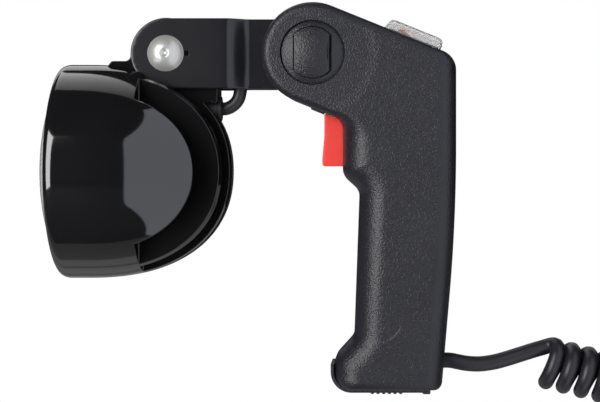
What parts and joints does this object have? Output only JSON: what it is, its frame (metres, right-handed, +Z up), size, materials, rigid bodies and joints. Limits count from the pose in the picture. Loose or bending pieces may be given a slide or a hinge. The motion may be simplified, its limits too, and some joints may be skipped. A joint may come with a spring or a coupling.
{
  "type": "led searchlight",
  "caption": "Hand-held searchlight: finned lamp head on a tilting two-plate bracket, pistol-grip handle with trigger and rocker switch, curly cord with a 12 V plug.",
  "frame": {"origin": "middle of the grip, where a hand closes round it", "axes": "+X from the lens to the back of the grip, +Y across the handle, +Z up"},
  "size_m": [0.356, 0.0988, 0.441],
  "materials": {
    "handle_plastic": "grained",
    "head_paint": "gloss",
    "bracket_paint": "satin",
    "zinc_steel": "bright",
    "lens_clear": "clear",
    "seal_rubber": "matte",
    "reflector_metal": "bright",
    "board_aluminium": "matte",
    "led_phosphor": "gloss",
    "cord_rubber": "satin",
    "wire_insulation": "satin",
    "friction_disc": "matte",
    "trigger_red": "satin",
    "boot_clear": "milky",
    "switch_black": "satin",
    "plug_plastic": "satin",
    "contact_nickel": "bright",
    "tip_brass": "bright"
  },
  "bodies": {
    "handle": {"handle_half_near": "handle_plastic", "handle_half_far": "handle_plastic", "shell_screws": "zinc_steel", "base_cover": "handle_plastic", "hub_bolt": "zinc_steel", "hub_nut": "zinc_steel", "hub_cap_near": "handle_plastic", "hub_cap_far": "handle_plastic", "trigger_pin": "zinc_steel", "trigger_spring": "zinc_steel", "micro_switch": "switch_black", "rocker_body": "switch_black", "rocker_pin": "zinc_steel", "switch_boot": "boot_clear", "inner_wires": "wire_insulation", "cord_clamp": "switch_black", "cord_tail": "cord_rubber", "cord_curl": "cord_rubber", "plug_sleeve": "cord_rubber", "plug_body": "plug_plastic", "plug_contacts": "contact_nickel", "plug_cap": "plug_plastic", "plug_spring": "zinc_steel"},
    "bracket": {"bracket_near": "bracket_paint", "bracket_far": "bracket_paint", "tilt_bolt": "zinc_steel", "tilt_nut": "zinc_steel", "tilt_washer": "zinc_steel", "tilt_discs": "friction_disc", "hub_sleeve": "zinc_steel", "hub_discs": "friction_disc", "lamp_lead": "cord_rubber"},
    "head": {"head_housing": "head_paint", "lens": "lens_clear", "lens_seal": "seal_rubber", "reflector": "reflector_metal", "led_board": "board_aluminium", "led_emitters": "led_phosphor", "board_screws": "zinc_steel", "cable_gland": "seal_rubber", "lead_cores": "wire_insulation"},
    "trigger": {"trigger": "trigger_red"},
    "plunger": {"switch_plunger": "trigger_red"},
    "rocker": {"rocker": "trigger_red"},
    "plug_tip": {"plug_tip": "tip_brass"}
  },
  "joints": [
    {"name": "bracket_swing", "type": "hinge", "parent": "handle", "child": "bracket", "pos_m": [-0.0421, 0, 0.0909], "axis": [0, 1, 0], "range_deg": [-20, 45]},
    {"name": "head_tilt", "type": "hinge", "parent": "bracket", "child": "head", "pos_m": [-0.1096, 0, 0.0909], "axis": [0, 1, 0], "range_deg": [-15, 60], "deforming": ["lamp_lead"]},
    {"name": "trigger_pull", "type": "hinge", "parent": "handle", "child": "trigger", "pos_m": [-0.0226, 0, 0.0631], "axis": [0, -1, 0], "range_deg": [0, 8], "stiffness_Nm_per_rad": 0.4, "springref_deg": -8.59, "deforming": ["trigger_spring"]},
    {"name": "plunger_press", "type": "slide", "parent": "handle", "child": "plunger", "axis": [1, 0, 0], "range_m": [0, 0.00172]},
    {"name": "rocker_flip", "type": "hinge", "parent": "handle", "child": "rocker", "pos_m": [0.00245, 0, 0.09598], "axis": [0, -1, 0], "range_deg": [0, 14]},
    {"name": "tip_press", "type": "slide", "parent": "handle", "child": "plug_tip", "axis": [0, 0, 1], "range_m": [0, 0.0035], "stiffness_N_per_m": 900, "springref_m": -0.004, "deforming": ["plug_spring"]}
  ],
  "couplings": [
    {"joint": "plunger_press", "follows": "trigger_pull", "m_per_rad": 0.0122}
  ]
}
